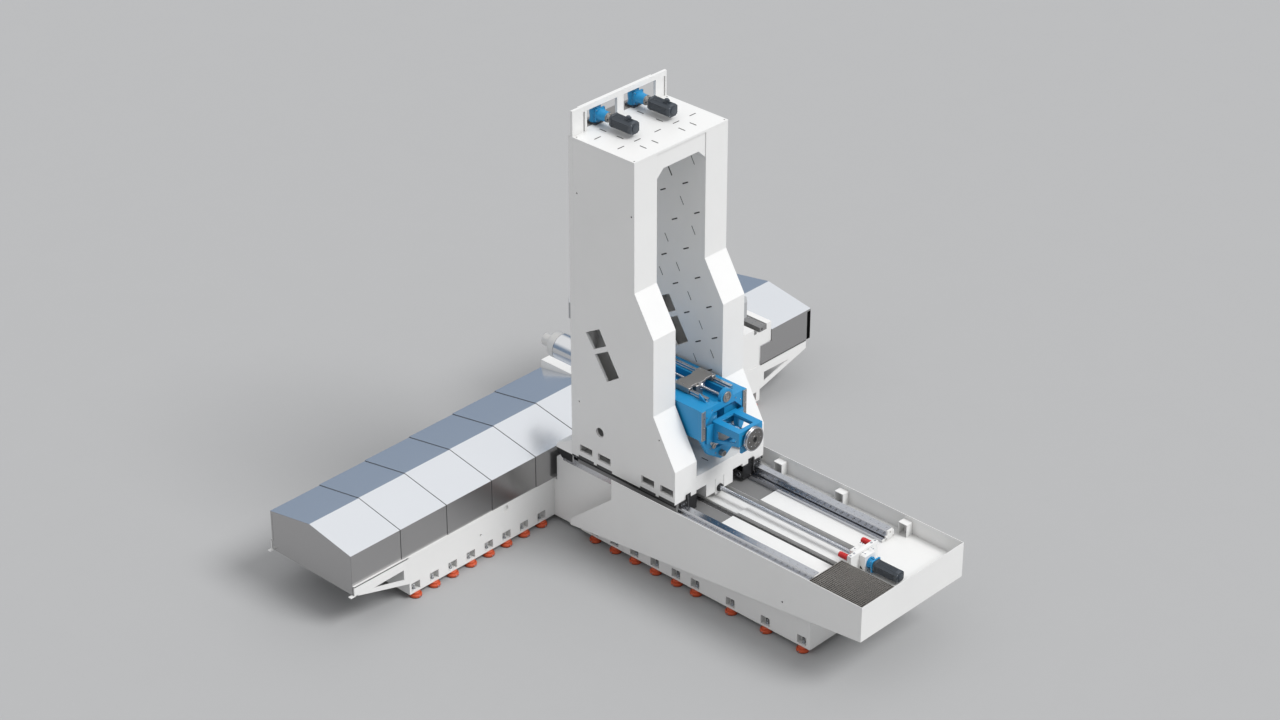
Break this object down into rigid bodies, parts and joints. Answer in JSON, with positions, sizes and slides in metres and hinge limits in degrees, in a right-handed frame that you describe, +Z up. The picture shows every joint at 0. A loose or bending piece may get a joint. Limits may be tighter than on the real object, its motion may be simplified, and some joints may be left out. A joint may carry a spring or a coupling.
{
  "type": "horizontal machining center",
  "caption": "Horizontal boring and machining centre with a travelling column, a headstock between two uprights, and a rotary table on a long covered bed.",
  "frame": {"origin": "bottom centre of the bounding box at rest, on the floor", "axes": "+X along the table travel towards the table's rest end, +Y from the column towards the table, +Z up"},
  "size_m": [9.984, 8.162, 7.03],
  "materials": {
    "white_paint": "satin",
    "blue_paint": "satin",
    "orange_mount": "satin",
    "dark_motor": "satin",
    "ground_steel": "ground",
    "cover_steel": "brushed",
    "grey_paint": "satin",
    "chrome": "polished",
    "red_buffer": "matte",
    "cast_grey": "painted"
  },
  "bodies": {
    "machine_bed": {"x_bed": "white_paint", "x_rails": "ground_steel", "levelling_mounts": "orange_mount", "x_arms": "white_paint", "cover_1": "cover_steel", "z_bed": "white_paint", "z_guides": "ground_steel", "tray": "white_paint", "grating": "grey_paint", "z_drive_block": "white_paint", "z_drive_gearbox": "blue_paint", "z_drive_motor": "dark_motor", "z_screw": "ground_steel", "z_buffers": "red_buffer"},
    "column": {"column_right": "white_paint", "column_left": "white_paint", "column_top": "white_paint", "column_base": "white_paint", "guide_shoes": "ground_steel", "guide_frame": "white_paint", "column_apron": "white_paint", "y_rails": "ground_steel", "y_screws": "ground_steel", "screw_shelves": "grey_paint", "y_drive_mounts": "ground_steel", "y_gearboxes": "blue_paint", "y_motors": "dark_motor"},
    "headstock": {"headstock": "blue_paint", "spindle_sleeve": "chrome", "end_ring": "blue_paint", "tail_cage": "blue_paint", "tail_disc": "cast_grey", "w_rails": "ground_steel", "w_screw": "ground_steel"},
    "feed_carriage": {"feed_carriage": "ground_steel"},
    "boring_spindle": {"boring_spindle": "ground_steel"},
    "saddle": {"saddle": "white_paint", "saddle_guide_bars": "dark_motor", "turntable_base": "cast_grey", "cover_6": "cover_steel"},
    "pallet": {"pallet": "cast_grey"},
    "cover_2": {"cover_2": "cover_steel"},
    "cover_3": {"cover_3": "cover_steel"},
    "cover_4": {"cover_4": "cover_steel"},
    "cover_5": {"cover_5": "cover_steel"}
  },
  "joints": [
    {"name": "table_travel", "type": "slide", "parent": "machine_bed", "child": "saddle", "axis": [-1, 0, 0], "range_m": [0, 4.5]},
    {"name": "table_rotation", "type": "hinge", "parent": "saddle", "child": "pallet", "pos_m": [2.3335, 3.029, 1.9], "axis": [0, 0, 1], "continuous": true},
    {"name": "column_travel", "type": "slide", "parent": "machine_bed", "child": "column", "axis": [0, -1, 0], "range_m": [0, 2.1]},
    {"name": "headstock_travel", "type": "slide", "parent": "column", "child": "headstock", "axis": [0, 0, 1], "range_m": [0, 3.26]},
    {"name": "spindle_feed", "type": "slide", "parent": "headstock", "child": "feed_carriage", "axis": [0, 1, 0], "range_m": [0, 0.48]},
    {"name": "spindle_rotation", "type": "hinge", "parent": "feed_carriage", "child": "boring_spindle", "pos_m": [-0.044, 1.354, 2.4], "axis": [0, 1, 0], "continuous": true},
    {"name": "cover_2_travel", "type": "slide", "parent": "machine_bed", "child": "cover_2", "axis": [-1, 0, 0], "range_m": [0, 0.9]},
    {"name": "cover_3_travel", "type": "slide", "parent": "machine_bed", "child": "cover_3", "axis": [-1, 0, 0], "range_m": [0, 1.8]},
    {"name": "cover_4_travel", "type": "slide", "parent": "machine_bed", "child": "cover_4", "axis": [-1, 0, 0], "range_m": [0, 2.7]},
    {"name": "cover_5_travel", "type": "slide", "parent": "machine_bed", "child": "cover_5", "axis": [-1, 0, 0], "range_m": [0, 3.6]}
  ],
  "couplings": [
    {"joint": "cover_2_travel", "follows": "table_travel", "ratio": 0.2},
    {"joint": "cover_3_travel", "follows": "table_travel", "ratio": 0.4},
    {"joint": "cover_4_travel", "follows": "table_travel", "ratio": 0.6},
    {"joint": "cover_5_travel", "follows": "table_travel", "ratio": 0.8}
  ]
}
